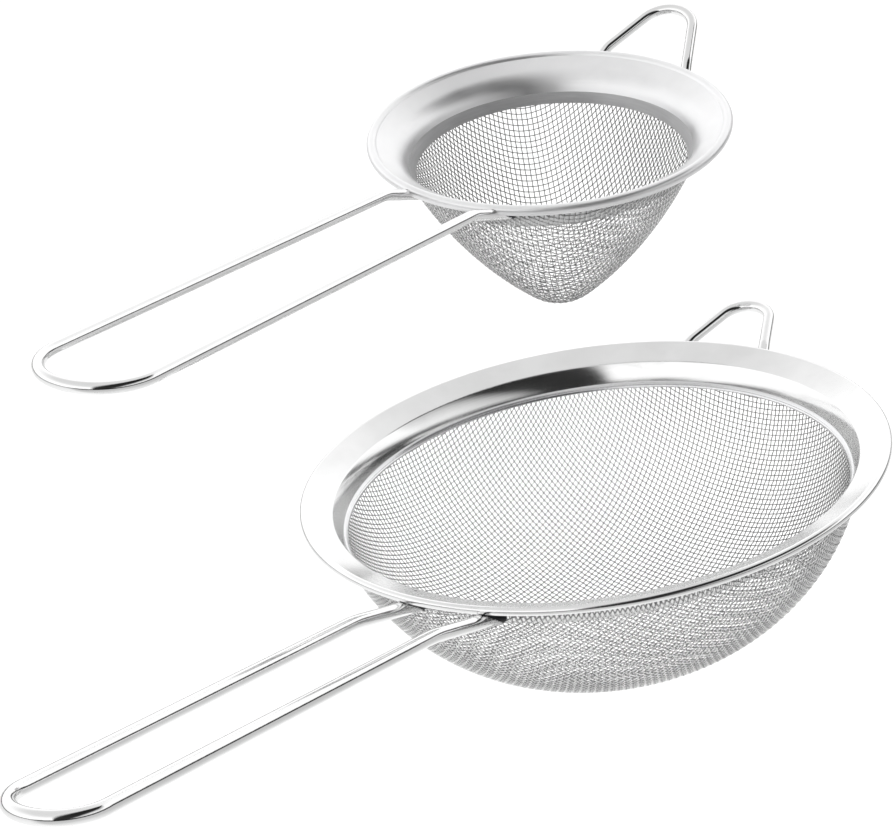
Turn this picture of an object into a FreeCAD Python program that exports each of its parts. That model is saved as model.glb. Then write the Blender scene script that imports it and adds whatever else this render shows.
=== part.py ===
"""Set of two hand strainers: a bowl strainer with a conical strainer held above it.

Each strainer is a pressed collar with a rolled rim round a core wire, an inner band, a woven
mesh cup, a long wire loop handle and a small wire hook opposite it, both welded under the collar.

Frame: millimetres, +Z up. The origin is the centre of the bowl strainer's rim circle, level with
the axis of its rolled edge. +X points to the hooks and -X along the handles.
"""
import FreeCAD
import Part
import Sketcher
import math
import os

Vec = FreeCAD.Vector
STRAINERS = ("bowl", "cone")

# Driving dimensions, mm and degrees: alias, bowl strainer, cone strainer, meaning.
PAIRED_SIZES = [
    ("rim_radius", 70.0, 42.5, "outside radius of the rolled rim"),
    ("curl_radius", 1.0, 1.2, "radius of the rolled edge's section"),
    ("core_radius", 0.5, 0.7, "radius of the wire inside the rolled edge"),
    ("join_angle", 68.0, 20.0, "height on the rolled edge where the flange meets it, degrees"),
    ("shoulder_radius", 61.9, 34.6, "radius at which the flange turns down"),
    ("shoulder_depth", 1.75, 2.7, "depth of that turn below the rim's axis"),
    ("shoulder_fillet", 2.6, 8.0, "inside radius of that turn"),
    ("skirt_radius", 60.8, 32.3, "inside radius of the skirt's lower edge"),
    ("skirt_depth", 7.6, 8.2, "depth of the skirt's lower edge"),
    ("band_radius", 60.95, 33.0, "outside radius of the inner band's upper edge"),
    ("band_foot_radius", 60.75, 32.15, "outside radius of the inner band's lower edge"),
    ("band_top", 5.9, 6.0, "depth of the inner band's upper edge"),
    ("band_foot", 7.7, 8.4, "depth of the inner band's lower edge"),
    ("mesh_top_radius", 62.75, 34.8, "inside radius of the mesh cup's mouth"),
    ("mesh_top", 2.5, 4.5, "depth of the mesh cup's mouth"),
    ("mesh_depth", 48.4, 45.0, "depth of the mesh cup's lowest point"),
    ("flank_radius", 53.5, 105.0, "radius of the mesh cup's flank in section"),
    ("nose_radius", 83.5, 11.0, "radius of the mesh cup's bottom in section"),
    ("handle_wire", 1.6, 1.3, "radius of the handle's wire"),
    ("handle_root_x", 63.4, 37.0, "distance of the handle's welded ends from the axis"),
    ("handle_root_z", -4.45, -4.5, "height of the handle's welded ends"),
    ("handle_bend_x", 87.0, 48.5, "distance of the handle's bend"),
    ("handle_bend_z", 4.2, 2.7, "height of the handle's bend"),
    ("handle_end_x", 199.0, 164.9, "distance of the handle's far end"),
    ("handle_end_z", 29.5, 20.3, "height of the handle's far end"),
    ("handle_root_y", 10.3, 11.4, "half the spacing of the legs at the weld"),
    ("handle_end_y", 9.8, 12.5, "half the spacing of the legs at the far end"),
    ("handle_bend_radius", 40.0, 10.0, "radius of the handle's bend"),
    ("hook_wire", 1.5, 1.3, "radius of the hook's wire"),
    ("hook_root_x", 64.0, 37.0, "distance of the hook's welded ends"),
    ("hook_root_z", -4.35, -5.6, "height of the hook's welded ends"),
    ("hook_root_y", 13.2, 13.9, "half the spacing of the hook's ends"),
    ("hook_bend_x", 73.0, 44.0, "distance of the hook's bend"),
    ("hook_bend_z", -0.6, 0.4, "height of the hook's bend"),
    ("hook_bend_y", 10.3, 11.3, "half the spacing of the hook's legs at the bend"),
    ("hook_tip_x", 88.8, 58.8, "distance of the hook's tip"),
    ("hook_tip_z", 2.8, 6.4, "height of the hook's tip"),
    ("hook_tip_radius", 7.0, 7.4, "radius of the hook's rounded tip"),
    ("weld_lift", 0.6, 1.1, "height of a weld bead's middle above its wire"),
]
SINGLE_SIZES = [
    ("sheet", 0.45, "thickness of the collars' sheet"),
    ("band_sheet", 0.4, "thickness of the inner bands"),
    ("mesh_sheet", 0.5, "overall thickness of the woven mesh"),
    ("curl_end_angle", 160.0, "how far under the rim the rolled edge closes, degrees"),
    ("weld_length", 4.0, "length of a weld bead"),
    ("weld_width", 2.6, "width of a weld bead"),
    ("weld_height", 2.7, "height of a weld bead"),
    ("weld_inset", 0.4, "distance of a weld bead's middle from the end of its wire"),
    ("cone_offset_x", 20.6, "cone strainer's rim centre, towards the hooks"),
    ("cone_offset_y", 11.2, "cone strainer's rim centre, to the left of the handle"),
    ("cone_offset_z", 76.1, "cone strainer's rim centre, above the bowl strainer's"),
    ("cone_yaw", -4.3, "turn of the cone strainer about the vertical, degrees"),
    ("cone_pitch", -3.6, "lean of the cone strainer towards its handle, degrees"),
    ("cone_roll", 7.2, "lean of the cone strainer to one side, degrees"),
]

doc = FreeCAD.newDocument("strainer_set")
sheet = doc.addObject("Spreadsheet::Sheet", "Sizes")


def fill_sheet():
    """Write every driving dimension as a plain number with an alias."""
    rows = [(f"bowl_{alias}", bowl, note) for alias, bowl, cone, note in PAIRED_SIZES]
    rows += [(f"cone_{alias}", cone, note) for alias, bowl, cone, note in PAIRED_SIZES]
    rows += SINGLE_SIZES
    for row, (alias, value, note) in enumerate(rows, start=1):
        sheet.set(f"A{row}", note)
        sheet.set(f"B{row}", str(value))
        sheet.setAlias(f"B{row}", alias)
    doc.recompute()


fill_sheet()


def size(alias):
    return float(sheet.get(alias))


def rotate_point(offset, angle):
    """Radial and axial distance of a point seen at an angle above the inward direction."""
    return Vec(-offset * math.cos(angle), offset * math.sin(angle), 0)


class Profile:
    """A closed sketch in a body's XZ plane, to be turned about Z."""

    def __init__(self, body, name):
        self.body = body
        self.sketch = body.newObject("Sketcher::SketchObject", name)
        plane = next(f for f in body.Origin.OriginFeatures if f.Role == "XZ_Plane")
        self.sketch.AttachmentSupport = [(plane, "")]
        self.sketch.MapMode = "FlatFace"

    def place(self, element, point, across, up):
        """Hold one point of an element at two expressions from the origin."""
        for kind, expression, value in (("DistanceX", across, point.x), ("DistanceY", up, point.y)):
            held = Sketcher.Constraint(kind, -1, 1, element, point_number(element, point, self.sketch), value)
            index = self.sketch.addConstraint(held)
            self.sketch.setExpression(f"Constraints[{index}]", expression)

    def line(self, start, end):
        return self.sketch.addGeometry(Part.LineSegment(start, end), False)

    def arc(self, centre, radius, first, last):
        circle = Part.Circle(centre, Vec(0, 0, 1), radius)
        return self.sketch.addGeometry(Part.ArcOfCircle(circle, first, last), False)

    def join(self, first, first_end, second, second_end):
        self.sketch.addConstraint(Sketcher.Constraint("Coincident", first, first_end, second, second_end))

    def hold(self, kind, *where, value, expression):
        index = self.sketch.addConstraint(Sketcher.Constraint(kind, *where, value))
        self.sketch.setExpression(f"Constraints[{index}]", expression)

    def turn(self, name):
        """Revolve the sketch a full turn about the vertical axis."""
        solid = self.body.newObject("PartDesign::Revolution", name)
        solid.Profile = self.sketch
        solid.ReferenceAxis = (self.sketch, ["V_Axis"])
        solid.Angle = 360
        doc.recompute()
        return solid


def point_number(element, point, sketch):
    """Which end of an element a point is: 1 the start, 2 the end, 3 the centre."""
    return min((1, 2, 3), key=lambda end: sketch.getPoint(element, end).distanceToPoint(point)
               if end < 3 or "Circle" in sketch.Geometry[element].TypeId else math.inf)


def new_body(name):
    body = doc.addObject("PartDesign::Body", name)
    body.Label = name
    return body


def make_collar(which):
    """Flange and skirt pressed from one sheet, with a rounded shoulder between them."""
    rim = f"Sizes.{which}_rim_radius"
    curl = f"Sizes.{which}_curl_radius"
    join = f"Sizes.{which}_join_angle"
    centre = size(f"{which}_rim_radius") - size(f"{which}_curl_radius")
    angle = math.radians(size(f"{which}_join_angle"))
    thick = size("sheet")
    lip = Vec(centre, 0, 0) + rotate_point(size(f"{which}_curl_radius"), angle)
    lip_under = Vec(centre, 0, 0) + rotate_point(size(f"{which}_curl_radius") - thick, angle)
    shoulder = Vec(size(f"{which}_shoulder_radius"), -size(f"{which}_shoulder_depth"), 0)
    foot = Vec(size(f"{which}_skirt_radius"), -size(f"{which}_skirt_depth"), 0)
    flange_out = (lip - shoulder).normalize()
    skirt_out = (shoulder - foot).normalize()
    flange_down = Vec(flange_out.y, -flange_out.x, 0)
    skirt_side = Vec(skirt_out.y, -skirt_out.x, 0)
    mitre = (flange_down + skirt_side) * (thick / (1 + flange_down.dot(skirt_side)))
    shoulder_under = shoulder + mitre
    foot_under = foot + skirt_side * thick

    body = new_body(f"{which}_collar")
    profile = Profile(body, f"{which}_collar_section")
    corners = [lip, shoulder, foot, foot_under, shoulder_under, lip_under]
    lines = [profile.line(a, b) for a, b in zip(corners, corners[1:] + corners[:1])]
    for before, after in zip(lines, lines[1:] + lines[:1]):
        profile.join(before, 2, after, 1)
    flange, skirt, foot_edge, skirt_under = lines[0], lines[1], lines[2], lines[3]
    profile.place(lines[0], lip, f"{rim} - {curl} - {curl} * cos({join} * 1deg)",
                  f"{curl} * sin({join} * 1deg)")
    profile.place(lines[4], lip_under, f"{rim} - {curl} - ({curl} - Sizes.sheet) * cos({join} * 1deg)",
                  f"({curl} - Sizes.sheet) * sin({join} * 1deg)")
    profile.place(lines[1], shoulder, f"Sizes.{which}_shoulder_radius", f"-Sizes.{which}_shoulder_depth")
    profile.place(lines[2], foot, f"Sizes.{which}_skirt_radius", f"-Sizes.{which}_skirt_depth")
    profile.hold("Distance", skirt_under, 1, skirt, value=thick, expression="Sizes.sheet")
    profile.hold("Distance", skirt_under, 2, skirt, value=thick, expression="Sizes.sheet")
    profile.hold("Distance", skirt_under, 2, flange, value=thick, expression="Sizes.sheet")
    profile.sketch.addConstraint(Sketcher.Constraint("Perpendicular", skirt, foot_edge))
    solid = profile.turn(f"{which}_collar_turned")
    inside = round_ring(body, solid, shoulder, f"{which}_shoulder_inside", f"Sizes.{which}_shoulder_fillet")
    return round_ring(body, inside, shoulder_under, f"{which}_shoulder_outside",
                      f"Sizes.{which}_shoulder_fillet + Sizes.sheet")


def round_ring(body, solid, corner, name, radius):
    """Round the circular edge that a profile corner draws."""
    def miss(edge):
        if not isinstance(edge.Curve, Part.Circle):
            return math.inf
        return abs(edge.Curve.Radius - corner.x) + abs(edge.Curve.Center.z - corner.y)
    edges = solid.Shape.Edges
    nearest = min(range(len(edges)), key=lambda index: miss(edges[index]))
    fillet = body.newObject("PartDesign::Fillet", name)
    fillet.Base = (solid, [f"Edge{nearest + 1}"])
    fillet.setExpression("Radius", radius)
    doc.recompute()
    return fillet


def make_rolled_edge(which):
    """Sheet curled round the core wire, open underneath where it closes on the flange."""
    centre = Vec(size(f"{which}_rim_radius") - size(f"{which}_curl_radius"), 0, 0)
    outer = size(f"{which}_curl_radius")
    inner = outer - size("sheet")
    first = math.radians(-size("curl_end_angle"))
    last = math.radians(180 - size(f"{which}_join_angle"))
    body = new_body(f"{which}_rolled_edge")
    profile = Profile(body, f"{which}_rolled_edge_section")
    outside = profile.arc(centre, outer, first, last)
    inside = profile.arc(centre, inner, first, last)
    ends = {angle: Vec(math.cos(angle), math.sin(angle), 0) for angle in (first, last)}
    start = profile.line(centre + ends[first] * inner, centre + ends[first] * outer)
    finish = profile.line(centre + ends[last] * inner, centre + ends[last] * outer)
    profile.join(start, 1, inside, 1)
    profile.join(start, 2, outside, 1)
    profile.join(finish, 1, inside, 2)
    profile.join(finish, 2, outside, 2)
    profile.join(inside, 3, outside, 3)
    sketch = profile.sketch
    sketch.addConstraint(Sketcher.Constraint("PointOnObject", outside, 3, -1))
    profile.hold("DistanceX", -1, 1, outside, 3, value=centre.x,
                 expression=f"Sizes.{which}_rim_radius - Sizes.{which}_curl_radius")
    profile.hold("Radius", outside, value=outer, expression=f"Sizes.{which}_curl_radius")
    profile.hold("Radius", inside, value=inner, expression=f"Sizes.{which}_curl_radius - Sizes.sheet")
    tip = centre + ends[last] * outer
    profile.hold("DistanceY", -1, 1, outside, 2, value=tip.y,
                 expression=f"Sizes.{which}_curl_radius * sin(Sizes.{which}_join_angle * 1deg)")
    sketch.addConstraint(Sketcher.Constraint("PointOnObject", outside, 3, finish))
    sketch.addConstraint(Sketcher.Constraint("PointOnObject", outside, 3, start))
    tail = centre + ends[first] * outer
    profile.hold("DistanceY", outside, 1, -1, 1, value=-tail.y,
                 expression=f"Sizes.{which}_curl_radius * sin(Sizes.curl_end_angle * 1deg)")
    profile.turn(f"{which}_rolled_edge_turned")


def make_core_wire(which):
    wire = doc.addObject("Part::Torus", f"{which}_core_wire")
    wire.Label = wire.Name
    wire.setExpression("Radius1", f"Sizes.{which}_rim_radius - Sizes.{which}_curl_radius")
    wire.setExpression("Radius2", f"Sizes.{which}_core_radius")


def make_inner_band(which):
    """Slightly tapered band pressed into the bottom of the skirt."""
    top = f"Sizes.{which}_band_radius"
    foot = f"Sizes.{which}_band_foot_radius"
    outside = doc.addObject("Part::Cone", f"{which}_band_outside")
    inside = doc.addObject("Part::Cone", f"{which}_band_inside")
    for cone, wall in ((outside, ""), (inside, " - Sizes.band_sheet")):
        cone.setExpression("Radius1", foot + wall)
        cone.setExpression("Radius2", top + wall)
        cone.setExpression("Height", f"Sizes.{which}_band_foot - Sizes.{which}_band_top")
        cone.setExpression(".Placement.Base.z", f"-Sizes.{which}_band_foot")
    band = doc.addObject("Part::Cut", f"{which}_inner_band")
    band.Label = band.Name
    band.Base = outside
    band.Tool = inside


def make_mesh(which):
    """The woven cup: flank and bottom drawn as two tangent arcs and turned about the axis."""
    thick = size("mesh_sheet")
    flank = size(f"{which}_flank_radius")
    nose = size(f"{which}_nose_radius")
    depth = size(f"{which}_mesh_depth")
    mouth = Vec(size(f"{which}_mesh_top_radius"), -size(f"{which}_mesh_top"), 0)
    nose_centre = Vec(0, nose - depth, 0)
    span = nose_centre - mouth
    along = (span.Length ** 2 + flank ** 2 - (flank - nose) ** 2) / (2 * span.Length)
    away = math.copysign(math.sqrt(flank ** 2 - along ** 2), flank - nose)
    direction = span / span.Length
    flank_centre = mouth + direction * along + Vec(direction.y, -direction.x, 0) * away
    to_mouth = mouth - flank_centre
    to_meet = (nose_centre - flank_centre) * math.copysign(1, flank - nose)
    mouth_angle = math.atan2(to_mouth.y, to_mouth.x)
    meet_angle = math.atan2(to_meet.y, to_meet.x)

    body = new_body(f"{which}_mesh")
    profile = Profile(body, f"{which}_mesh_section")
    arcs = {}
    for side, wall in (("inside", 0.0), ("outside", thick)):
        arcs[side] = (profile.arc(flank_centre, flank + wall, meet_angle, mouth_angle),
                      profile.arc(nose_centre, nose + wall, -math.pi / 2, meet_angle))
    mouth_edge = profile.line(mouth, mouth + to_mouth.normalize() * thick)
    tip = Vec(0, -depth, 0)
    tip_edge = profile.line(tip, tip - Vec(0, thick, 0))
    for end, side in ((1, "inside"), (2, "outside")):
        flank_arc, nose_arc = arcs[side]
        profile.sketch.addConstraint(Sketcher.Constraint("Tangent", flank_arc, 1, nose_arc, 2))
        profile.join(mouth_edge, end, flank_arc, 2)
        profile.join(tip_edge, end, nose_arc, 1)
    profile.join(arcs["inside"][0], 3, arcs["outside"][0], 3)
    profile.sketch.addConstraint(Sketcher.Constraint("PointOnObject", tip_edge, 1, -2))
    profile.sketch.addConstraint(Sketcher.Constraint("PointOnObject", arcs["inside"][1], 3, -2))
    profile.sketch.addConstraint(Sketcher.Constraint("Vertical", tip_edge))
    profile.hold("DistanceY", tip_edge, 1, -1, 1, value=depth, expression=f"Sizes.{which}_mesh_depth")
    profile.hold("Radius", arcs["inside"][1], value=nose, expression=f"Sizes.{which}_nose_radius")
    profile.hold("Radius", arcs["inside"][0], value=flank, expression=f"Sizes.{which}_flank_radius")
    profile.hold("Radius", arcs["outside"][0], value=flank + thick,
                 expression=f"Sizes.{which}_flank_radius + Sizes.mesh_sheet")
    profile.place(mouth_edge, mouth, f"Sizes.{which}_mesh_top_radius", f"-Sizes.{which}_mesh_top")
    profile.turn(f"{which}_mesh_turned")


def rounded_path(corners, radii):
    """A wire of straight runs joined by tangent arcs, one radius for each inner corner."""
    edges = []
    last = corners[0]
    for before, corner, after, radius in zip(corners, corners[1:], corners[2:], radii):
        back = (before - corner).normalize()
        ahead = (after - corner).normalize()
        half = back.getAngle(ahead) / 2
        reach = radius / math.tan(half)
        start = corner + back * reach
        end = corner + ahead * reach
        middle = corner + (back + ahead).normalize() * (radius / math.sin(half) - radius)
        edges.append(Part.LineSegment(last, start).toShape())
        edges.append(Part.Arc(start, middle, end).toShape())
        last = end
    edges.append(Part.LineSegment(last, corners[-1]).toShape())
    return Part.Wire(edges)


def sweep_wire(name, path, radius_alias):
    """A round wire of the sheet's radius along a path."""
    spine = doc.addObject("Part::Feature", f"{name}_path")
    spine.Shape = path
    section = doc.addObject("Part::Circle", f"{name}_section")
    section.setExpression("Radius", f"Sizes.{radius_alias}")
    start = path.Edges[0]
    heading = (start.valueAt(start.LastParameter) - start.valueAt(start.FirstParameter)).normalize()
    section.Placement = FreeCAD.Placement(start.valueAt(start.FirstParameter),
                                          FreeCAD.Rotation(Vec(0, 0, 1), heading))
    wire = doc.addObject("Part::Sweep", name)
    wire.Label = name
    wire.Sections = [section]
    wire.Spine = (spine, [f"Edge{index + 1}" for index in range(len(path.Edges))])
    wire.Solid = True
    wire.Frenet = False
    wire.Transition = "Right corner"


def make_handle(which):
    """Long loop: two legs that leave the weld steeply, flatten at a bend and meet in a round end."""
    def at(alias, side):
        return Vec(-size(f"{which}_handle_{alias}_x"), side, size(f"{which}_handle_{alias}_z"))
    root_y = size(f"{which}_handle_root_y")
    end_y = size(f"{which}_handle_end_y")
    bend_y = root_y + (end_y - root_y) * 0.3
    corners = [at("root", root_y), at("bend", bend_y), at("end", end_y)]
    corners += [Vec(p.x, -p.y, p.z) for p in reversed(corners)]
    bend = size(f"{which}_handle_bend_radius")
    end_radius = end_y * 0.98
    path = rounded_path(corners, [bend, end_radius, end_radius, bend])
    sweep_wire(f"{which}_handle", path, f"{which}_handle_wire")


def make_hook(which):
    """Short loop with a narrow rounded tip, opposite the handle."""
    root = Vec(size(f"{which}_hook_root_x"), size(f"{which}_hook_root_y"), size(f"{which}_hook_root_z"))
    bend = Vec(size(f"{which}_hook_bend_x"), size(f"{which}_hook_bend_y"), size(f"{which}_hook_bend_z"))
    tip_x = size(f"{which}_hook_tip_x")
    tip_z = size(f"{which}_hook_tip_z")
    radius = size(f"{which}_hook_tip_radius")
    length = math.hypot(tip_x - bend.x, tip_z - bend.z)
    flank = math.hypot(length - radius, bend.y)
    lean = math.asin(radius / flank) - math.atan2(bend.y, length - radius)
    crown_y = bend.y + (length) * math.tan(lean)
    crown = Vec(tip_x, crown_y, tip_z)
    corners = [root, bend, crown]
    corners += [Vec(p.x, -p.y, p.z) for p in reversed(corners)]
    path = rounded_path(corners, [4.0, radius * 0.99, radius * 0.99, 4.0])
    sweep_wire(f"{which}_hook", path, f"{which}_hook_wire")


def make_welds(which, wire, direction):
    """Two weld beads between a loop's ends and the collar's underside."""
    beads = []
    slope = math.atan2(size(f"{which}_{wire}_bend_z") - size(f"{which}_{wire}_root_z"),
                       size(f"{which}_{wire}_bend_x") - size(f"{which}_{wire}_root_x"))
    inset = size("weld_inset")
    reach = size(f"{which}_{wire}_root_x") + inset
    height = size(f"{which}_{wire}_root_z") + inset * math.tan(slope) + size(f"{which}_{wire}_wire")
    height += size(f"{which}_weld_lift")
    for side in (1, -1):
        bead = doc.addObject("Part::Ellipsoid", f"{which}_{wire}_weld_{'left' if side > 0 else 'right'}")
        bead.setExpression("Radius1", "Sizes.weld_height / 2")
        bead.setExpression("Radius2", "Sizes.weld_length / 2")
        bead.setExpression("Radius3", "Sizes.weld_width / 2")
        tilt = FreeCAD.Rotation(Vec(0, 1, 0), math.degrees(-slope * direction))
        spot = Vec(direction * reach, side * size(f"{which}_{wire}_root_y"), height)
        bead.Placement = FreeCAD.Placement(spot, tilt)
        beads.append(bead)
    welds = doc.addObject("Part::Compound", f"{which}_{wire}_welds")
    welds.Label = welds.Name
    welds.Links = beads


for which in STRAINERS:
    make_collar(which)
    make_rolled_edge(which)
    make_core_wire(which)
    make_inner_band(which)
    make_mesh(which)
    make_handle(which)
    make_hook(which)
    make_welds(which, "handle", -1)
    make_welds(which, "hook", 1)
doc.recompute()

PIECES = ["collar", "rolled_edge", "core_wire", "inner_band", "mesh", "handle", "hook",
          "handle_welds", "hook_welds"]
cone_place = FreeCAD.Placement(
    Vec(size("cone_offset_x"), size("cone_offset_y"), size("cone_offset_z")),
    FreeCAD.Rotation(size("cone_yaw"), size("cone_pitch"), size("cone_roll")))
nodes = {}
for which in STRAINERS:
    for piece in PIECES:
        nodes[f"{which}_{piece}"] = doc.getObject(f"{which}_{piece}")
for name, node in nodes.items():
    if name.startswith("cone_"):
        node.Placement = cone_place.multiply(node.Placement)
doc.recompute()

for item in doc.Objects:
    if "Invalid" in item.State or "Error" in item.State:
        raise RuntimeError(f"{item.Name} failed: {item.State}")
os.makedirs("parts", exist_ok=True)
for name, node in nodes.items():
    shape = node.Shape
    if shape.isNull() or not shape.isValid() or not shape.Solids:
        raise RuntimeError(f"{name} has no valid solid")
    shape.exportStep(f"parts/{name}.step")
    box = shape.optimalBoundingBox(True)
    print(f"{name}: {len(shape.Solids)} solid, {shape.Volume:.1f} mm3, "
          f"x {box.XMin:.1f} to {box.XMax:.1f}, y {box.YMin:.1f} to {box.YMax:.1f}, "
          f"z {box.ZMin:.1f} to {box.ZMax:.1f}")
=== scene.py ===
"""Looks of the strainer set: woven mesh cups, pressed collars, wire handles and hooks.

Lengths are metres in the frame of the CAD. Each strainer is drawn about its own axis, with
the centre of its rim at the origin, and its pieces are then placed together.
"""

import math

import bpy
import numpy as np
from mathutils import Euler, Matrix, Vector


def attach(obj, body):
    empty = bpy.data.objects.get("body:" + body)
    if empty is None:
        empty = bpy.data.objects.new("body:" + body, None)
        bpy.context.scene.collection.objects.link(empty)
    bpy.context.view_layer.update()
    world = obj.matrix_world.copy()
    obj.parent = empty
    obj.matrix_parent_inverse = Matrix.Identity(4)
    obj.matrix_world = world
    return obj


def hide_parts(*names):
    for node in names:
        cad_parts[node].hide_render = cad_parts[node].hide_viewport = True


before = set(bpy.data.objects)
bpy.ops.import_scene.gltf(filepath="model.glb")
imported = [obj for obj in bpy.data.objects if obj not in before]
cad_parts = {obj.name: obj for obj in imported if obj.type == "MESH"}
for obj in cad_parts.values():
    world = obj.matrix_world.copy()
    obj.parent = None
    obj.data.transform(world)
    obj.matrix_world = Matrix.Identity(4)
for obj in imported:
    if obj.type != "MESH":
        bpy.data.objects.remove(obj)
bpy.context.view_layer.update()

MM = 0.001

# Sizes of the two strainers, mm and degrees. They follow the CAD, except where the photo asked for
# a small change: the bowl's shoulder, skirt and band, the cone's tip and band, and the handles'
# ends, which run further in under the collar. The weave and the wires' slopes are only drawn here.
SIZES = {
    "bowl": dict(
        rim_radius=70.0, curl=1.0, join=68.0, shoulder=(62.4, -1.6), shoulder_fillet=0.7,
        bow=0.045, skirt_steps=14,
        band_shape=((0.0, 0.1), (0.12, 0.9), (0.3, 1.5), (0.42, 1.7), (0.45, 1.3), (0.5, 1.25),
                    (0.55, 1.6), (0.8, 1.8), (0.93, 1.6), (1.0, 1.1)),
        lip_fillet=1.6, skirt=(60.2, -7.6), band_top=(60.75, -6.2), band_foot=(60.15, -7.75),
        mesh_mouth=(62.75, -2.5), mesh_depth=48.4, flank=53.5, nose=83.5,
        pitch=1.27, gauge=0.245, turn=-11.5, shear=1.0,
        handle_slope=8.0, hook_slope=5.0,
        handle_wire=1.6, handle_root=(62.2, 10.3, -4.9), handle_bend=(87.0, 10.15, 4.2),
        handle_end=(199.0, 9.8, 29.5), handle_bend_radius=40.0,
        hook_wire=1.5, hook_root=(64.0, 13.2, -4.35), hook_bend=(73.0, 10.3, -0.6),
        hook_tip=(88.8, 2.8), hook_tip_radius=7.0),
    "cone": dict(
        rim_radius=42.5, curl=1.2, join=20.0, shoulder=(34.6, -2.7), shoulder_fillet=8.0,
        bow=0.0, skirt_steps=0,
        band_shape=((0.02, 0.1), (0.25, 0.45), (0.6, 0.8), (0.94, 1.0), (1.0, 0.9)),
        lip_fillet=0.4, skirt=(32.3, -8.2), band_top=(33.2, -6.0), band_foot=(32.15, -8.4),
        mesh_mouth=(34.8, -4.5), mesh_depth=44.3, flank=105.0, nose=12.0,
        pitch=1.38, gauge=0.26, turn=44.0, shear=0.7,
        handle_slope=9.0, hook_slope=4.0,
        handle_wire=1.3, handle_root=(33.6, 11.4, -3.9), handle_bend=(48.5, 11.73, 2.7),
        handle_end=(164.9, 12.5, 20.3), handle_bend_radius=10.0,
        hook_wire=1.3, hook_root=(37.0, 13.9, -5.6), hook_bend=(44.0, 11.3, 0.4),
        hook_tip=(58.8, 6.4), hook_tip_radius=7.4),
}
SHEET = 0.45
BAND_SHEET = 0.4
MESH_SHEET = 0.5
CURL_END = 160.0                # how far the rolled edge curls under, degrees from straight out
LATHE_STEPS = 360
WIRE_GAP = 0.5                  # length of a wire's segments
GROUND_DEPTH = 0.7              # share of a wire's radius that is ground away at its end
HOOK_FILLET = 4.0
ARC_SHARE = 0.98                # share of the room at a corner that its arc may take
STRAIGHT = math.radians(89.5)   # half the angle at a corner, above which it is left as it is
SHARPEST = 0.5                  # cosine at a corner, below which a sheet's offset grows no longer
# The dark wedge on a wire's ends is painted shade: the collar's dark underside as the wire would mirror
# it.
WEDGE_START, WEDGE_DROP, WEDGE_CURVE = 1.02, 1.9, 0.8   # lower edge of the dark wedge on a wire

PLACES = {
    "bowl": Matrix.Identity(4),
    "cone": (Matrix.Translation(Vector((20.6, 11.2, 76.1)) * MM)
             @ Euler((math.radians(7.2), math.radians(-3.6), math.radians(-4.3))).to_matrix().to_4x4()),
}


# ---------------------------------------------------------------- camera
def make_camera():
    """The photo's camera, from a fit to the rims, skirts, handle and hook."""
    right = Vector((0.51633, -0.84216, -0.15544))
    down = Vector((-0.42442, -0.0940, -0.90057))
    ahead = Vector((0.74382, 0.53096, -0.40597))
    data = bpy.data.cameras.new("camera")
    data.lens = 105.0
    data.sensor_width = 36.0
    data.clip_start = 0.01
    data.clip_end = 50.0
    camera = bpy.data.objects.new("camera", data)
    bpy.context.scene.collection.objects.link(camera)
    turn = Matrix((right, -down, -ahead)).transposed().to_4x4()
    camera.matrix_world = Matrix.Translation((-0.4695, -0.2962, 0.2655)) @ turn
    bpy.context.scene.camera = camera


make_camera()


# ---------------------------------------------------------------- mesh helpers
def build(name, points, faces, place, material, body, sharp=35.0):
    """A mesh object in the strainer's own axes, set in its place and riding on its body."""
    mesh = bpy.data.meshes.new(name)
    if isinstance(faces, np.ndarray):
        faces = faces.tolist()
    mesh.from_pydata(np.asarray(points).tolist(), [], faces)
    mesh.validate()
    mesh.update()
    mesh.shade_smooth()
    if sharp:
        mesh.set_sharp_from_angle(angle=math.radians(sharp))
    piece = bpy.data.objects.new(name, mesh)
    bpy.context.scene.collection.objects.link(piece)
    piece.matrix_world = place
    mesh.materials.append(material)
    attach(piece, body)
    return piece


def arc(centre, radius, first, last, steps):
    """Points on an arc in the section plane, angles in degrees."""
    angles = np.radians(np.linspace(first, last, steps + 1))
    return [(centre[0] + radius * math.cos(a), centre[1] + radius * math.sin(a)) for a in angles]


def rounded(points, radii, steps=8):
    """An open line in the section plane with its inner corners rounded."""
    line = [points[0]]
    for before, corner, after, radius in zip(points, points[1:], points[2:], radii):
        corner = np.array(corner, float)
        back = np.array(before) - corner
        ahead = np.array(after) - corner
        longest = ARC_SHARE * min(np.linalg.norm(back), np.linalg.norm(ahead))
        back /= np.linalg.norm(back)
        ahead /= np.linalg.norm(ahead)
        half = math.acos(np.clip(back @ ahead, -1, 1)) / 2
        reach = radius / math.tan(half)
        if radius <= 0 or half > STRAIGHT:
            line.append(tuple(corner))
            continue
        reach = min(reach, longest)
        radius = reach * math.tan(half)
        bisector = back + ahead
        bisector /= np.linalg.norm(bisector)
        centre = corner + bisector * radius / math.sin(half)
        start = corner + back * reach - centre
        end = corner + ahead * reach - centre
        first = math.atan2(start[1], start[0])
        sweep = (math.atan2(end[1], end[0]) - first + math.pi) % (2 * math.pi) - math.pi
        for t in np.linspace(0, 1, steps + 1):
            a = first + sweep * t
            line.append((centre[0] + radius * math.cos(a), centre[1] + radius * math.sin(a)))
    line.append(points[-1])
    return line


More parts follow.
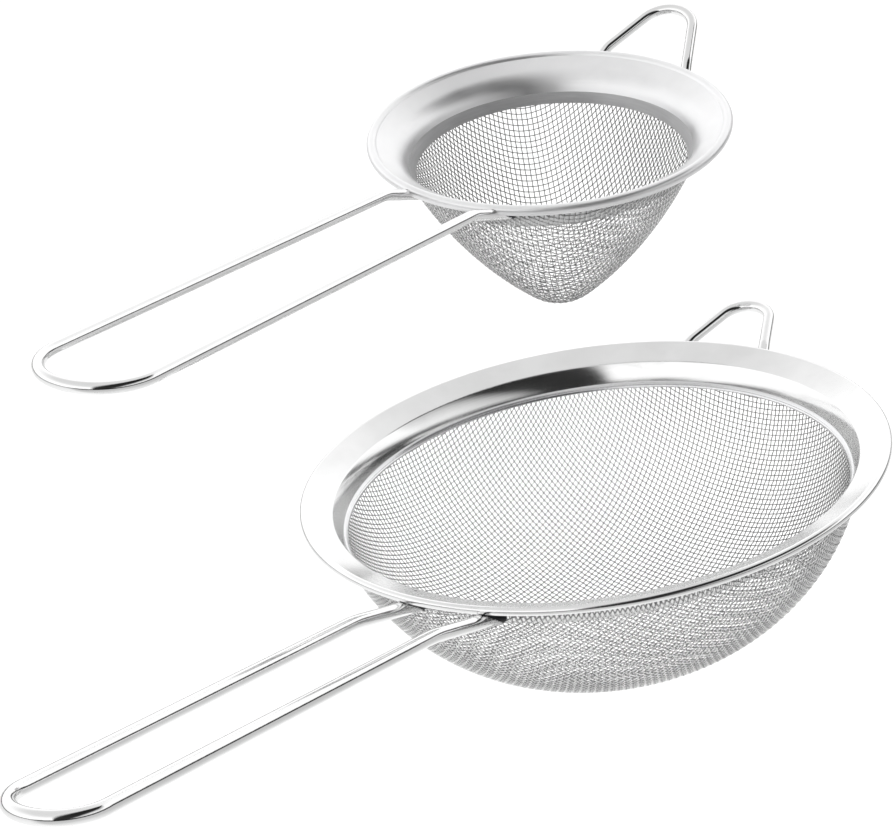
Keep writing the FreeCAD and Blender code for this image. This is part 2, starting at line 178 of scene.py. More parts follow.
def sheet_section(line, thick):
    """A closed section: the line, a rounded edge, the line's offset to its right, a rounded edge."""
    line = np.array(line, float)
    step = np.diff(line, axis=0)
    step /= np.linalg.norm(step, axis=1)[:, None]
    ahead = np.vstack([step, step[-1:]])
    back = np.vstack([step[:1], step])
    mean = ahead + back
    mean /= np.linalg.norm(mean, axis=1)[:, None]
    cosine = np.clip((mean * ahead).sum(1), SHARPEST, 1)
    side = np.stack([mean[:, 1], -mean[:, 0]], 1) * (thick / cosine)[:, None]
    other = line + side
    section = list(map(tuple, line))
    section += edge_round(line[-1], other[-1], step[-1])
    section += list(map(tuple, other[::-1]))
    section += edge_round(other[0], line[0], -step[0])
    return section


def edge_round(start, end, outward, steps=4):
    """The points of a half circle between two points, bulging outward, without its ends."""
    middle = (start + end) / 2
    radius = np.linalg.norm(end - start) / 2
    across = (start - middle) / radius
    return [tuple(middle + across * radius * math.cos(a) + outward * radius * math.sin(a))
            for a in np.linspace(0, math.pi, steps + 1)[1:-1]]


def lathe(section):
    """Points and faces of a closed section turned about Z, mm in and metres out."""
    section = np.array(section, float)
    number, count = len(section), LATHE_STEPS
    angles = np.linspace(0, 2 * math.pi, count, endpoint=False)
    r = np.repeat(section[None, :, 0], count, 0)
    z = np.repeat(section[None, :, 1], count, 0)
    points = np.stack([r * np.cos(angles)[:, None], r * np.sin(angles)[:, None], z], 2)
    ring = np.arange(count)[:, None] * number
    following = np.roll(ring, -1, 0)
    here = np.arange(number)[None, :]
    then = np.roll(here, -1, 1)
    faces = np.stack([ring + here, ring + then, following + then, following + here], 2)
    after = np.roll(section, -1, 0)
    area = np.sum(section[:, 0] * after[:, 1] - after[:, 0] * section[:, 1])
    faces = faces.reshape(-1, 4)
    if area > 0:
        faces = faces[:, ::-1]
    return points.reshape(-1, 3) * MM, faces


# ---------------------------------------------------------------- materials
MIX_A, MIX_B, MIX_RESULT = 6, 7, 2      # the colour sockets of a Mix node


def new_material(name):
    """A material, its node tree and its main shader."""
    material = bpy.data.materials.new(name)
    material.use_nodes = True
    tree = material.node_tree
    return material, tree, tree.nodes["Principled BSDF"]


def node(tree, kind, **values):
    """A new node with its properties, or else its input sockets, set by name."""
    made = tree.nodes.new(kind)
    for key, value in values.items():
        if key in made.bl_rna.properties:
            setattr(made, key, value)
        else:
            made.inputs[key.replace("_", " ")].default_value = value
    return made


def ramp(tree, source, stops):
    """A colour ramp driven by a socket; stops are (position, grey or colour)."""
    made = tree.nodes.new("ShaderNodeValToRGB")
    band = made.color_ramp
    while len(band.elements) < len(stops):
        band.elements.new(1.0)
    for element, (position, value) in zip(band.elements, stops):
        element.position = position
        colour = value if isinstance(value, tuple) else (value, value, value)
        element.color = (*colour, 1)
    tree.links.new(source, made.inputs["Fac"])
    return made.outputs["Color"]


def mixed_colour(tree, first, second, factor=None):
    """Two colours multiplied together, or mixed by a factor's socket."""
    if factor is None:
        made = node(tree, "ShaderNodeMix", data_type="RGBA", blend_type="MULTIPLY", Factor=1.0)
    else:
        made = node(tree, "ShaderNodeMix", data_type="RGBA")
        tree.links.new(factor, made.inputs["Factor"])
    tree.links.new(first, made.inputs[MIX_A])
    tree.links.new(second, made.inputs[MIX_B])
    return made.outputs[MIX_RESULT]


def map_range(tree, source, span, result=(0.0, 1.0), **values):
    """A socket's value moved from one span to another."""
    made = node(tree, "ShaderNodeMapRange", **values)
    made.inputs["From Min"].default_value, made.inputs["From Max"].default_value = span
    made.inputs["To Min"].default_value, made.inputs["To Max"].default_value = result
    tree.links.new(source, made.inputs["Value"])
    return made.outputs["Result"]


def dot_with(tree, place, vector):
    """The dot product of a vector socket and another socket or a constant vector."""
    made = node(tree, "ShaderNodeVectorMath", operation="DOT_PRODUCT")
    tree.links.new(place, made.inputs[0])
    if isinstance(vector, Vector):
        made.inputs[1].default_value = vector
    else:
        tree.links.new(vector, made.inputs[1])
    return made.outputs["Value"]


def steel(name, tint, rough, grain=(900.0, 900.0, 900.0), bump=0.02, stain=0.06, spun=False,
          metallic=1.0):
    """Bright steel: fine grain, faint uneven polish and a little dulling in patches."""
    material, tree, shader = new_material(name)
    links = tree.links
    shader.inputs["Metallic"].default_value = metallic
    shader.inputs["Specular IOR Level"].default_value = 0.5
    place = tree.nodes.new("ShaderNodeTexCoord").outputs["Object"]
    if spun:
        place = around_axis(tree, place)
    stretch = node(tree, "ShaderNodeMapping")
    stretch.inputs["Scale"].default_value = grain
    links.new(place, stretch.inputs["Vector"])
    fine = node(tree, "ShaderNodeTexNoise", Scale=1.0, Detail=4.0, Roughness=0.6)
    links.new(stretch.outputs["Vector"], fine.inputs["Vector"])
    cloud = node(tree, "ShaderNodeTexNoise", Scale=70.0, Detail=3.0, Roughness=0.55)
    links.new(tree.nodes["Texture Coordinate"].outputs["Object"], cloud.inputs["Vector"])
    low = tuple(c * (1 - stain) for c in tint)
    colour = ramp(tree, cloud.outputs["Fac"], [(0.35, low), (0.6, tint)])
    links.new(colour, shader.inputs["Base Color"])
    wear = node(tree, "ShaderNodeMath", operation="MULTIPLY_ADD")
    links.new(fine.outputs["Fac"], wear.inputs[0])
    wear.inputs[1].default_value = 0.6
    links.new(cloud.outputs["Fac"], wear.inputs[2])
    uneven = map_range(tree, wear.outputs[0], (0.5, 1.1), (rough * 0.75, rough * 1.3))
    links.new(uneven, shader.inputs["Roughness"])
    relief = node(tree, "ShaderNodeBump", Strength=bump, Distance=0.0002)
    links.new(fine.outputs["Fac"], relief.inputs["Height"])
    links.new(relief.outputs["Normal"], shader.inputs["Normal"])
    return material


def around_axis(tree, place):
    """Radius, angle and height about Z, for marks that run round a turned piece."""
    split = tree.nodes.new("ShaderNodeSeparateXYZ")
    tree.links.new(place, split.inputs[0])
    angle = node(tree, "ShaderNodeMath", operation="ARCTAN2")
    tree.links.new(split.outputs["Y"], angle.inputs[0])
    tree.links.new(split.outputs["X"], angle.inputs[1])
    flat = node(tree, "ShaderNodeCombineXYZ")
    tree.links.new(split.outputs["X"], flat.inputs["X"])
    tree.links.new(split.outputs["Y"], flat.inputs["Y"])
    radius = node(tree, "ShaderNodeVectorMath", operation="LENGTH")
    tree.links.new(flat.outputs[0], radius.inputs[0])
    made = node(tree, "ShaderNodeCombineXYZ")
    tree.links.new(radius.outputs["Value"], made.inputs["X"])
    tree.links.new(angle.outputs[0], made.inputs["Y"])
    tree.links.new(split.outputs["Z"], made.inputs["Z"])
    return made.outputs[0]


def woven_steel():
    """Drawn wire, with painted shade: dark just under the collar, and darker on its faces that turn
    towards the cup's axis.
    """
    material = steel("woven_wire", (0.96, 0.96, 0.96), 0.2, grain=(1500.0, 1500.0, 1500.0),
                     bump=0.02, stain=0.15)
    tree = material.node_tree
    shader = tree.nodes["Principled BSDF"]
    plain = shader.inputs["Base Color"].links[0].from_socket
    source = tree.nodes["Texture Coordinate"]
    split = tree.nodes.new("ShaderNodeSeparateXYZ")
    tree.links.new(source.outputs["Object"], split.inputs[0])
    depth = map_range(tree, split.outputs["Z"], (-10 * MM, 0.0))
    # Painted shade: the wire's colour darkens towards the top of the cup, just under the collar.
    painted_shade_under_collar = ramp(tree, depth, [(0.38, 1.0), (0.55, 0.16)])
    outward = node(tree, "ShaderNodeVectorMath", operation="NORMALIZE")
    tree.links.new(source.outputs["Object"], outward.inputs[0])
    faced = dot_with(tree, source.outputs["Normal"], outward.outputs["Vector"])
    # Painted shade: the wire's colour is darker on its faces that turn towards the cup's axis.
    inner = ramp(tree, map_range(tree, faced, (-1.0, 1.0)), [(0.4, 0.30), (0.6, 1.0)])
    shaded = mixed_colour(tree, mixed_colour(tree, plain, painted_shade_under_collar), inner)
    tree.links.new(shaded, shader.inputs["Base Color"])
    return material


MATERIALS = {
    "bowl_collar": steel("mirror_steel", (0.93, 0.93, 0.93), 0.13, grain=(2600.0, 3.0, 2600.0),
                         bump=0.03, spun=True),
    "cone_collar": steel("soft_steel", (0.90, 0.90, 0.905), 0.35, grain=(2600.0, 3.0, 2600.0),
                         bump=0.015, spun=True, metallic=0.86),
    "bowl_band": steel("bright_band_steel", (0.85, 0.85, 0.86), 0.22, grain=(3000.0, 4.0, 3000.0),
                       bump=0.04, spun=True),
    "cone_band": steel("satin_band_steel", (0.66, 0.66, 0.665), 0.75, grain=(3000.0, 4.0, 3000.0),
                       bump=0.08, spun=True),
    "wire": steel("drawn_wire", (0.93, 0.93, 0.93), 0.075, grain=(60.0, 2400.0, 2400.0), bump=0.03),
    "weave": woven_steel(),
    # Painted shade: near-black steel for the wires' ends under the collar, standing in for the dark
    # underside they mirror.
    "painted_end_shade": steel("shade_painted_steel", (0.035, 0.035, 0.04), 0.4, grain=(1800.0, 1800.0, 1800.0),
                    bump=0.1, stain=0.3),
    "weld": steel("weld_steel", (0.09, 0.09, 0.09), 0.42, grain=(1800.0, 1800.0, 1800.0),
                  bump=0.25, stain=0.3),
    "core": steel("core_steel", (0.5, 0.5, 0.5), 0.4),
}


# ---------------------------------------------------------------- woven cups
class Cup:
    """The middle surface of a mesh cup: radius and height by distance from its lowest point."""

    def __init__(self, size):
        half = MESH_SHEET / 2
        flank, nose = size["flank"], size["nose"]
        mouth = np.array(size["mesh_mouth"])
        nose_centre = np.array((0.0, nose - size["mesh_depth"]))
        span = nose_centre - mouth
        length = np.linalg.norm(span)
        along = (length ** 2 + flank ** 2 - (flank - nose) ** 2) / (2 * length)
        away = math.copysign(math.sqrt(flank ** 2 - along ** 2), flank - nose)
        ahead = span / length
        flank_centre = mouth + ahead * along + np.array((ahead[1], -ahead[0])) * away
        meet = (nose_centre - flank_centre) * math.copysign(1, flank - nose)
        self.nose = nose + half
        self.flank = flank + half
        self.nose_centre = nose_centre
        self.flank_centre = flank_centre
        self.meet = math.atan2(meet[1], meet[0])
        to_mouth = mouth - flank_centre
        self.mouth = math.atan2(to_mouth[1], to_mouth[0])
        self.nose_length = self.nose * (self.meet + math.pi / 2)
        self.length = self.nose_length + self.flank * (self.mouth - self.meet)

    def at(self, s):
        """Radius, height and slope angle at a distance from the lowest point."""
        s = np.asarray(s, float)
        on_nose = s / self.nose - math.pi / 2
        on_flank = self.meet + (np.minimum(s, self.length) - self.nose_length) / self.flank
        angle = np.where(s < self.nose_length, on_nose, on_flank)
        radius = np.where(s < self.nose_length, self.nose, self.flank)
        cx = np.where(s < self.nose_length, self.nose_centre[0], self.flank_centre[0])
        cz = np.where(s < self.nose_length, self.nose_centre[1], self.flank_centre[1])
        beyond = np.maximum(s - self.length, 0)
        r = cx + radius * np.cos(angle) - np.sin(angle) * beyond
        z = cz + radius * np.sin(angle) + np.cos(angle) * beyond
        return r, z, angle

    def points(self, s, phi, lift=0.0):
        """Places, and outward normals, at distances from the lowest point and angles about Z."""
        r, z, angle = self.at(s)
        outward = np.stack([np.cos(angle) * np.cos(phi), np.cos(angle) * np.sin(phi),
                            np.sin(angle)], -1)
        place = np.stack([r * np.cos(phi), r * np.sin(phi), z], -1)
        return place + outward * np.asarray(lift)[..., None], outward


NET_ROUNDS = 12                 # rounds of Newton's method for each diagonal of the net
STEP_ALONG, STEP_ROUND = 1e-4, 1e-5     # steps for its slopes, mm and radians
LARGEST_TURN = 0.3              # largest change of angle in one round, radians
NET_REACH = 1.6                 # how far past the mouth the net may run, in lengths of the cup
TINY = 1e-9


def sheared_net(cup, pitch, count):
    """Distance and angle of the crossings of a cloth draped on the cup, for one quarter of it.

    Every crossing lies one pitch from the two before it, as in a cloth that only shears. It is
    found by Newton's method on the two distances, u along the cup and v about its axis."""
    s = np.zeros((count, count))
    phi = np.zeros((count, count))
    steps = np.arange(count)
    s[:, 0] = s[0, :] = steps * pitch
    phi[0, :] = math.pi / 2
    place = np.zeros((count, count, 3))
    place[:, 0] = cup.points(s[:, 0], phi[:, 0])[0]
    place[0, :] = cup.points(s[0, :], phi[0, :])[0]
    for total in range(2, 2 * count - 1):
        i = np.arange(max(1, total - count + 1), min(count - 1, total - 1) + 1)
        j = total - i
        a, b = place[i - 1, j], place[i, j - 1]
        guess = a + b - place[i - 1, j - 1]
        v = np.arctan2(guess[:, 1], guess[:, 0])
        u = np.maximum(s[i - 1, j], s[i, j - 1]) + pitch * 0.4
        for _ in range(NET_ROUNDS):
            here = cup.points(u, v)[0]
            du = (cup.points(u + STEP_ALONG, v)[0] - here) / STEP_ALONG
            dv = (cup.points(u, v + STEP_ROUND)[0] - here) / STEP_ROUND
            fa = ((here - a) ** 2).sum(1) - pitch ** 2
            fb = ((here - b) ** 2).sum(1) - pitch ** 2
            aa, ab = 2 * ((here - a) * du).sum(1), 2 * ((here - a) * dv).sum(1)
            ba, bb = 2 * ((here - b) * du).sum(1), 2 * ((here - b) * dv).sum(1)
            det = aa * bb - ab * ba
            det = np.where(np.abs(det) < TINY, TINY, det)
            u = u - np.clip((fa * bb - fb * ab) / det, -pitch, pitch)
            v = v - np.clip((aa * fb - ba * fa) / det, -LARGEST_TURN, LARGEST_TURN)
            u = np.clip(u, 0.0, cup.length * NET_REACH)
            v = np.clip(v, 0.0, math.pi / 2)
        s[i, j], phi[i, j] = u, v
        place[i, j] = cup.points(u, v)[0]
    return s, phi


def cloth_net(cup, size):
    """Distance and angle of every crossing on the whole cup, from -count to count both ways."""
    pitch = size["pitch"]
    count = int(cup.length / pitch) + 3
    steps = np.arange(count) * pitch
    x, y = np.meshgrid(steps, steps, indexing="ij")
    even_s, even_phi = np.hypot(x, y), np.arctan2(y, x)
    s, phi = sheared_net(cup, pitch, count)
    share = size["shear"]
    s = even_s * (1 - share) + s * share
    phi = even_phi * (1 - share) + phi * share
    full_s = np.zeros((2 * count - 1, 2 * count - 1))
    full_phi = np.zeros_like(full_s)
    here, back = slice(count - 1, None), slice(count - 1, None, -1)
    full_s[here, here], full_phi[here, here] = s, phi
    full_s[back, here], full_phi[back, here] = s, math.pi - phi
    full_s[back, back], full_phi[back, back] = s, math.pi + phi
    full_s[here, back], full_phi[here, back] = s, -phi
    return full_s, full_phi


def mesh_tubes(lines, normals, radius):
    """Points and faces of closed four-sided tubes along lists of points."""
    points, faces, base, sides = [], [], 0, 4
    ring = np.radians(45 + 360 / sides * np.arange(sides))
    for line, normal in zip(lines, normals):
        step = np.gradient(line, axis=0)
        step /= np.linalg.norm(step, axis=1)[:, None]
        across = np.cross(step, normal)
        across /= np.linalg.norm(across, axis=1)[:, None]
        up = np.cross(across, step)
        spokes = (np.cos(ring)[None, :, None] * across[:, None]
                  + np.sin(ring)[None, :, None] * up[:, None])
        points.append((line[:, None] + spokes * radius).reshape(-1, 3))
        number = len(line)
        start = base + np.arange(number - 1)[:, None] * sides
        here = np.arange(sides)[None, :]
        then = np.roll(here, -1, 1)
        quads = np.stack([start + here, start + then, start + sides + then, start + sides + here], 2)
        faces.append(quads.reshape(-1, 4))
        last = base + (number - 1) * sides
        faces.append(np.array([[base + 3, base + 2, base + 1, base],
                               [last, last + 1, last + 2, last + 3]]))
        base += number * sides
    return np.vstack(points), np.vstack(faces)[:, ::-1]


def cup_threads(cup, size, full_s, full_phi, warp):
    """The centre lines of the threads one way through the cloth, with the surface's normals."""
    lift = size["gauge"] * 0.5
    turn = math.radians(size["turn"])
    number = full_s.shape[0]
    spin = np.array([[math.cos(turn), -math.sin(turn), 0], [math.sin(turn), math.cos(turn), 0],
                     [0, 0, 1]])
    lines, normals = [], []
    for row in range(number):
        s = full_s[row, :] if warp else full_s[:, row]
        phi = full_phi[row, :] if warp else full_phi[:, row]
        inside = np.nonzero(s <= cup.length)[0]
        if len(inside) < 2:
            continue
        first, last = max(inside[0] - 1, 0), min(inside[-1] + 1, number - 1)
        s, phi = s[first:last + 1], np.unwrap(phi[first:last + 1])
        crossing = np.arange(first, last + 1)
        sign = np.where((crossing + row) % 2 == 0, 1.0, -1.0) * (1 if warp else -1)
        place, outward = cup.points(s, phi, sign * lift)
        plain, _ = cup.points(s, phi)
        # Straight chords keep the run smooth across the lowest point.
        middle = (plain[:-1] + plain[1:]) / 2
        side = outward[:-1] + outward[1:]
        side /= np.linalg.norm(side, axis=1)[:, None]
        full = np.empty((2 * len(s) - 1, 3))
        full[0::2], full[1::2] = place, middle
        face = np.empty_like(full)
        face[0::2], face[1::2] = outward, side
        reach = np.interp(np.arange(len(full)) / 2, np.arange(len(s)), s)
        full, face = trim(full, face, reach, cup.length)
        if len(full) < 3:
            continue
        lines.append(full @ spin.T)
        normals.append(face @ spin.T)
    return lines, normals


def trim(line, face, reach, limit):
    """Cuts both ends of a line where its distance passes the limit."""
    for _ in range(2):
        over = np.nonzero(reach > limit)[0]
        over = over[over < len(reach) // 2]
        if len(over):
            k = over[-1]
            t = (reach[k] - limit) / max(reach[k] - reach[k + 1], TINY)
            line = np.vstack([line[k] * (1 - t) + line[k + 1] * t, line[k + 1:]])
            face = face[k:]
            reach = np.concatenate([[limit], reach[k + 1:]])
        line, face, reach = line[::-1], face[::-1], reach[::-1]
    return line, face


def make_cup(which):
    """Both ways of a cup's threads, each in two halves that stay within the export's face limit."""
    size = SIZES[which]
    cup = Cup(size)
    full_s, full_phi = cloth_net(cup, size)
    for way in ("warp", "weft"):
        lines, normals = cup_threads(cup, size, full_s, full_phi, way == "warp")
        half = len(lines) // 2
        for part, chosen in (("a", slice(0, half)), ("b", slice(half, None))):
            points, faces = mesh_tubes(lines[chosen], normals[chosen], size["gauge"] / 2)
            piece = build(f"{which}_{way}_wires_{part}", points * MM, faces, PLACES[which],
                          MATERIALS["weave"], f"{which}_strainer", sharp=None)
            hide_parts(f"{which}_mesh")


# ---------------------------------------------------------------- pressed collars and bands
def skirt_line(size):
    """The skirt from its foot up to the shoulder, bowed towards the axis."""
    foot, top = np.array(size["skirt"]), np.array(size["shoulder"])
    across = np.array((-(top - foot)[1], (top - foot)[0]))
    return [tuple(foot + (top - foot) * t + across * size["bow"] * 4 * t * (1 - t))
            for t in np.linspace(0, 1, size["skirt_steps"] + 1, endpoint=False)]


def split_runs(line, longest=1.0):
    """The same line with its long runs cut into steps."""
    steps = [line[0]]
    for before, after in zip(line, line[1:]):
        parts = max(1, int(math.dist(before, after) / longest))
        steps += [tuple(np.array(before) + (np.array(after) - np.array(before)) * (k + 1) / parts)
                  for k in range(parts)]
    return steps


def make_collar(which):
    """Skirt, shoulder, flange and rolled edge, pressed from one sheet."""
    size = SIZES[which]
    centre = (size["rim_radius"] - size["curl"], 0.0)
    curl, join = size["curl"], size["join"]
    lip = (centre[0] - curl * math.cos(math.radians(join)), curl * math.sin(math.radians(join)))
    bend = arc(centre, curl, 180 - join, -CURL_END, 40)
    line = rounded(skirt_line(size) + [size["shoulder"], lip, bend[2]],
                   [0.0] * size["skirt_steps"] + [size["shoulder_fillet"], size["lip_fillet"]], 14)
    section = sheet_section(split_runs(line[:-1] + bend[2:]), SHEET)
    points, faces = lathe(section)
    piece = build(f"{which}_pressed_collar", points, faces, PLACES[which],
                  MATERIALS[f"{which}_collar"], f"{which}_strainer")
    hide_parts(f"{which}_collar", f"{which}_rolled_edge")


def make_band(which):
    """The band that clamps the mesh inside the skirt, with its upper edge feathered into it."""
    size = SIZES[which]
    top, foot = np.array(size["band_top"]), np.array(size["band_foot"])
    face = [tuple(top + (foot - top) * t + np.array((-BAND_SHEET * inset, 0.0)))
            for t, inset in size["band_shape"]]
    points, faces = lathe([tuple(top), *face, tuple(foot)])
    piece = build(f"{which}_clamp_band", points, faces, PLACES[which], MATERIALS[f"{which}_band"],
                  f"{which}_strainer", sharp=50.0)
    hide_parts(f"{which}_inner_band")


# ---------------------------------------------------------------- handles and hooks
def rounded_path(corners, radii, steps=16):
    """Points of straight runs joined by arcs in space."""
    line = [np.array(corners[0], float)]
    for before, corner, after, radius in zip(corners, corners[1:], corners[2:], radii):
        before, corner, after = (np.array(p, float) for p in (before, corner, after))
        back = (before - corner) / np.linalg.norm(before - corner)
        ahead = (after - corner) / np.linalg.norm(after - corner)
        half = math.acos(np.clip(back @ ahead, -1, 1)) / 2
        bisector = (back + ahead) / np.linalg.norm(back + ahead)
        centre = corner + bisector * radius / math.sin(half)
        start = corner + back * radius / math.tan(half) - centre
        end = corner + ahead * radius / math.tan(half) - centre
        sweep = math.acos(np.clip(start @ end / radius ** 2, -1, 1))
        for t in np.linspace(0, 1, steps + 1):
            spoke = start * math.sin((1 - t) * sweep) + end * math.sin(t * sweep)
            line.append(centre + spoke / math.sin(sweep))
    line.append(np.array(corners[-1], float))
    return np.array(line)


def even_points(line, gap):
    """The same line with points at even gaps, and their distances along it."""
    steps = np.linalg.norm(np.diff(line, axis=0), axis=1)
    reach = np.concatenate([[0], np.cumsum(steps)])
    wanted = np.linspace(0, reach[-1], int(reach[-1] / gap) + 2)
    return np.stack([np.interp(wanted, reach, line[:, k]) for k in range(3)], 1), wanted


def wire_tube(line, reach, radius, tint, sides=28):
    """A round wire, ground to a slope on top at its two ends.

    Returns the points, the faces, and which faces take a painted shade: a dark wedge, standing in for
    the collar's dark underside as the wire would mirror it, that starts on top of the wire at the
    tint's length from its end and has spread down its sides at the end."""
    step = np.gradient(line, axis=0)
    step /= np.linalg.norm(step, axis=1)[:, None]
    side = np.cross(step, np.array([0.0, 0.0, 1.0]))
    side /= np.linalg.norm(side, axis=1)[:, None]
    up = np.cross(side, step)
    press = np.clip(1 - np.minimum(reach, reach[-1] - reach) / tint, 0, 1)
    ring = np.linspace(0, 2 * math.pi, sides, endpoint=False)
    high = radius * np.minimum(np.sin(ring)[None, :], 1 - GROUND_DEPTH * press[:, None])
    # Painted shade: faces above this edge take the near-black steel.
    dark = np.sin(ring)[None, :] > WEDGE_START - WEDGE_DROP * press[:, None] ** WEDGE_CURVE
    rings = (line[:, None] + np.cos(ring)[None, :, None] * side[:, None] * radius
             + high[:, :, None] * up[:, None])
    number = len(line)
    points = rings.reshape(-1, 3)
    faces, marks = [], []
    for row in range(number - 1):
        a = row * sides
        for k in range(sides):
            then = (k + 1) % sides
            faces.append([a + k, a + then, a + sides + then, a + sides + k])
            marks.append(int(dark[row:row + 2, k].any() and dark[row:row + 2, then].any()))
    faces.append(list(range(sides))[::-1])
    faces.append([(number - 1) * sides + k for k in range(sides)])
    return points * MM, faces, marks + [1, 1]


def build_wire(name, which, line, radius, tint, node_name):
    """A wire along a line, with its marked faces in the near-black steel of the painted shade."""
    line, reach = even_points(line, WIRE_GAP)
    points, faces, marks = wire_tube(line, reach, radius, tint)
    piece = build(name, points, faces, PLACES[which], MATERIALS["wire"],
                  f"{which}_strainer")
    piece.data.materials.append(MATERIALS["painted_end_shade"])
    for face, mark in zip(piece.data.polygons, marks):
        face.material_index = mark
    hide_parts(node_name)


def make_handle(which):
    """One wire out along -X, round the end and back."""
    size = SIZES[which]
    turn = size["handle_end"][1] * ARC_SHARE
    corners = [(-x, y, z) for x, y, z in (size[f"handle_{part}"] for part in ("root", "bend", "end"))]
    corners += [(x, -y, z) for x, y, z in reversed(corners)]
    bend = size["handle_bend_radius"]
    line = rounded_path(corners, [bend, turn, turn, bend])
    build_wire(f"{which}_handle_loop", which, line, size["handle_wire"], size["handle_slope"],
               f"{which}_handle")


def make_hook(which):
    """One wire out along +X, round a tip that both sides meet at a tangent, and back."""
    size = SIZES[which]
    root, bend = size["hook_root"], size["hook_bend"]
    tip_x, tip_z = size["hook_tip"]
    radius = size["hook_tip_radius"]
    length = math.hypot(tip_x - bend[0], tip_z - bend[2])
    flank = math.hypot(length - radius, bend[1])
    lean = math.asin(radius / flank) - math.atan2(bend[1], length - radius)
    corners = [root, bend, (tip_x, bend[1] + length * math.tan(lean), tip_z)]
    corners += [(x, -y, z) for x, y, z in reversed(corners)]
    turn = radius * 0.99            # a little under the tip's own, so that the two arcs don't meet
    line = rounded_path(corners, [HOOK_FILLET, turn, turn, HOOK_FILLET])
    build_wire(f"{which}_hook_loop", which, line, size["hook_wire"], size["hook_slope"],
               f"{which}_hook")


for which in SIZES:
    make_cup(which)
    make_collar(which)
    make_band(which)
    make_handle(which)
    make_hook(which)
    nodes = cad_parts
    for name, kind in (("core_wire", "core"), ("handle_welds", "weld"), ("hook_welds", "weld")):
        nodes[f"{which}_{name}"].data.materials.clear()
        nodes[f"{which}_{name}"].data.materials.append(MATERIALS[kind])


# ---------------------------------------------------------------- floor, world and lights
SKY_POWER = 1.25
# Brightness of the studio by the sine of the height above the horizon, as steel sees it: the
# half behind the camera, and the half beyond the object.
NEAR_SKY = [(-1.0, 0.74), (-0.5, 0.50), (-0.13, 0.47), (-0.06, 0.03), (0.09, 0.03), (0.155, 0.88),
            (0.42, 0.97), (0.62, 0.82), (0.8, 0.64), (1.0, 0.6)]
FAR_SKY = [(-1.0, 0.85), (-0.4, 0.75), (-0.07, 0.66), (-0.03, 0.06), (0.03, 0.06), (0.07, 0.90),
           (0.42, 0.97), (0.62, 0.82), (0.8, 0.64), (1.0, 0.6)]
HALVES_MEET = (-0.25, 0.2)      # cosine from the near side over which one half becomes the other
PANEL_ENDS = ((308.0, 48.0), (200.0, 3.0))      # azimuth and height of two points on the dark panel
PANEL_MIDDLE = (256.0, 28.0)
PANEL_SPAN = (0.45, 0.85)       # cosine from the middle where it tapers out, and where it is full
PANEL_WIDTH = (0.001, 0.42)     # half its width there, as a sine
FLOOR_HALF, FLOOR_LEVEL = 6.0, -0.30


def make_floor():
    """A wide pale floor, which the steel doesn't mirror."""
    corners = [(x * FLOOR_HALF, y * FLOOR_HALF, FLOOR_LEVEL)
               for x, y in ((-1, -1), (1, -1), (1, 1), (-1, 1))]
    mesh = bpy.data.meshes.new("floor")
    mesh.from_pydata(corners, [], [(0, 1, 2, 3)])
    floor = bpy.data.objects.new("floor", mesh)
    bpy.context.scene.collection.objects.link(floor)
    material, tree, shader = new_material("pale_floor")
    noise = node(tree, "ShaderNodeTexNoise", Scale=3.0, Detail=2.0)
    colour = ramp(tree, noise.outputs["Fac"], [(0.3, 0.93), (0.7, 0.95)])
    tree.links.new(colour, shader.inputs["Base Color"])
    shader.inputs["Roughness"].default_value = 0.9
    mesh.materials.append(material)
    floor.visible_glossy = False


def direction(azimuth, height):
    """A unit vector toward an azimuth and height, degrees."""
    a, h = math.radians(azimuth), math.radians(height)
    return Vector((math.cos(a) * math.cos(h), math.sin(a) * math.cos(h), math.sin(h)))


def studio_walls(tree, place):
    """The studio's brightness by height, with a dark line round its horizon."""
    split = tree.nodes.new("ShaderNodeSeparateXYZ")
    tree.links.new(place, split.inputs[0])
    level = map_range(tree, split.outputs["Z"], (-1.0, 1.0))
    far, near = (ramp(tree, level, [((z + 1) / 2, value) for z, value in stops])
                 for stops in (FAR_SKY, NEAR_SKY))
    facing = dot_with(tree, place, direction(PANEL_MIDDLE[0], 0.0))
    share = map_range(tree, facing, HALVES_MEET, interpolation_type="SMOOTHSTEP")
    return mixed_colour(tree, far, near, share)


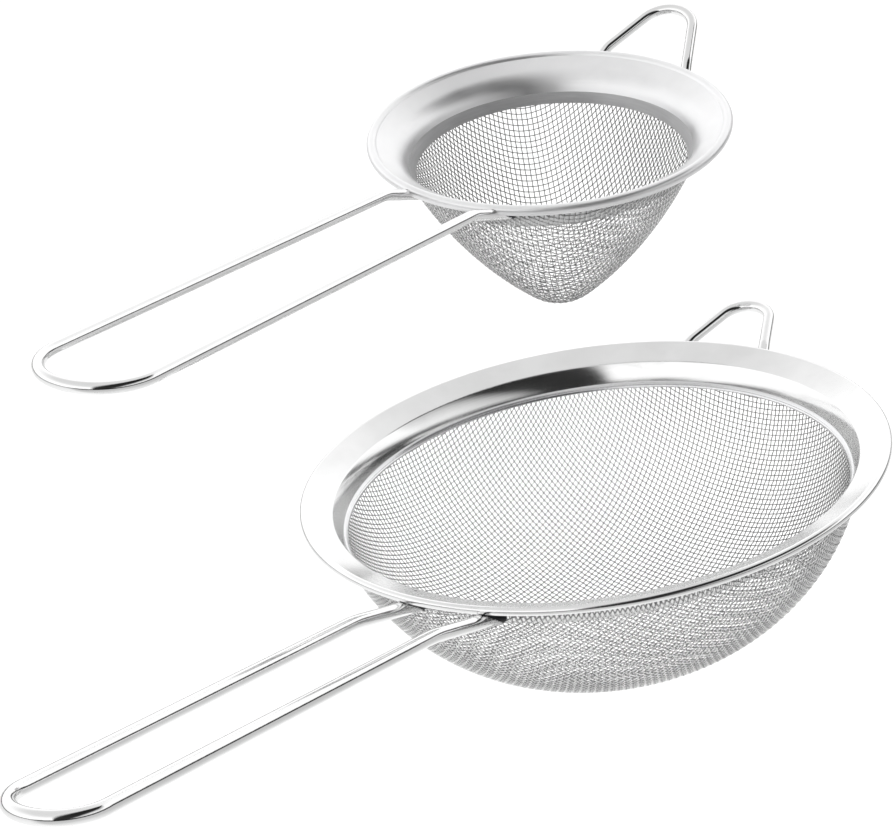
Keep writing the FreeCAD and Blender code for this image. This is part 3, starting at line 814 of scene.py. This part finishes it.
def dark_panel(tree, place):
    """White, with a dark panel slung behind the camera: a strip that tapers out at both ends."""
    first, last = direction(*PANEL_ENDS[0]), direction(*PANEL_ENDS[1])
    distance = node(tree, "ShaderNodeMath", operation="ABSOLUTE")
    tree.links.new(dot_with(tree, place, first.cross(last).normalized()), distance.inputs[0])
    near = dot_with(tree, place, direction(*PANEL_MIDDLE))
    width = map_range(tree, near, PANEL_SPAN, PANEL_WIDTH, interpolation_type="SMOOTHSTEP")
    share = node(tree, "ShaderNodeMath", operation="DIVIDE")
    tree.links.new(distance.outputs[0], share.inputs[0])
    tree.links.new(width, share.inputs[1])
    halved = node(tree, "ShaderNodeMath", operation="MULTIPLY")
    tree.links.new(share.outputs[0], halved.inputs[0])
    halved.inputs[1].default_value = 0.5
    # 0 is the panel's middle line and 0.5 its edge.
    return ramp(tree, halved.outputs[0], [(0.0, 0.02), (0.34, 0.03), (0.5, 0.5), (0.85, 1.0)])


def make_world():
    """The studio that the steel mirrors; the backdrop itself stays plain white."""
    world = bpy.data.worlds.new("studio")
    bpy.context.scene.world = world
    world.use_nodes = True
    tree = world.node_tree
    place = tree.nodes.new("ShaderNodeTexCoord").outputs["Generated"]
    studio = mixed_colour(tree, studio_walls(tree, place), dark_panel(tree, place))
    path = tree.nodes.new("ShaderNodeLightPath")
    seen = node(tree, "ShaderNodeMix", data_type="RGBA")
    tree.links.new(path.outputs["Is Camera Ray"], seen.inputs["Factor"])
    tree.links.new(studio, seen.inputs[MIX_A])
    seen.inputs[MIX_B].default_value = (1 / SKY_POWER, 1 / SKY_POWER, 1 / SKY_POWER, 1)
    background = tree.nodes["Background"]
    tree.links.new(seen.outputs[MIX_RESULT], background.inputs["Color"])
    background.inputs["Strength"].default_value = SKY_POWER


def make_light(name, place, target, side, power):
    """A square soft light, which the steel doesn't mirror."""
    data = bpy.data.lights.new(name, "AREA")
    data.shape = "SQUARE"
    data.size = side
    data.energy = power
    light = bpy.data.objects.new(name, data)
    bpy.context.scene.collection.objects.link(light)
    light.location = place
    light.rotation_euler = (Vector(target) - Vector(place)).to_track_quat("-Z", "Y").to_euler()
    light.visible_glossy = False


make_floor()
make_world()
make_light("overhead", (0.2, 0.3, 2.4), (0, 0, 0), 2.4, 60.0)
bpy.context.scene.view_settings.view_transform = "Standard"
